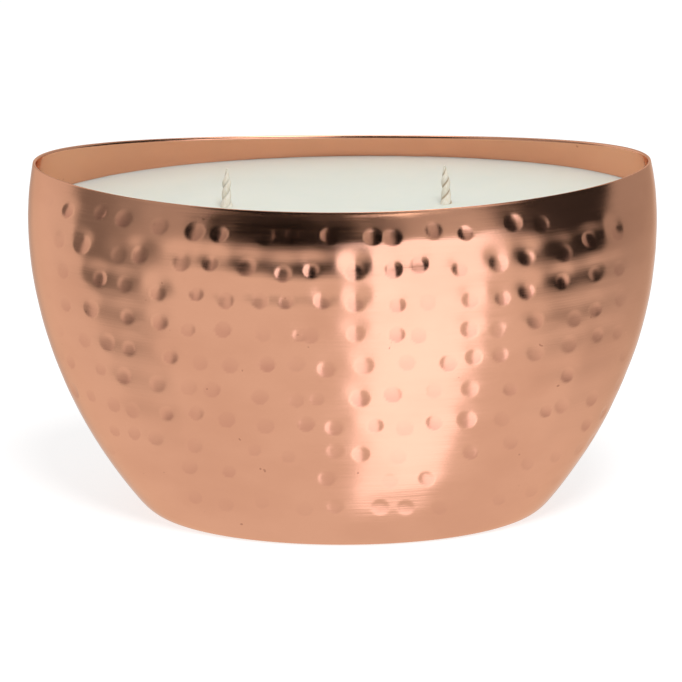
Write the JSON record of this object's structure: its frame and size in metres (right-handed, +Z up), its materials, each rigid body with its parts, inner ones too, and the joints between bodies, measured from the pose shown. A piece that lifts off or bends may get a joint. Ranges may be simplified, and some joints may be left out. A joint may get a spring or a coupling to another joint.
{
  "type": "hammered candle bowl",
  "caption": "Oval hammered copper bowl with incurved long sides and raised ends, filled with pale wax that holds upright braided wicks. It stands on a flat foot.",
  "frame": {"origin": "middle of the flat foot, on the surface that the bowl stands on", "axes": "+Z up, +X along the bowl's length to the right of its front, front faces -Y"},
  "size_m": [0.18, 0.0992, 0.104],
  "materials": {
    "copper": "hand-hammered copper, satin polish with fine scratches",
    "wax": "smooth poured wax, slightly translucent",
    "cotton": "braided cotton, waxed",
    "tinned_steel": "bright tinplate",
    "sticker_foam": "thin adhesive foam"
  },
  "bodies": {
    "root": {"bowl": "copper", "wax": "wax", "wick_left": "cotton", "wick_right": "cotton", "sustainer_left": "tinned_steel", "sustainer_right": "tinned_steel", "sticker_left": "sticker_foam", "sticker_right": "sticker_foam"}
  },
  "joints": []
}
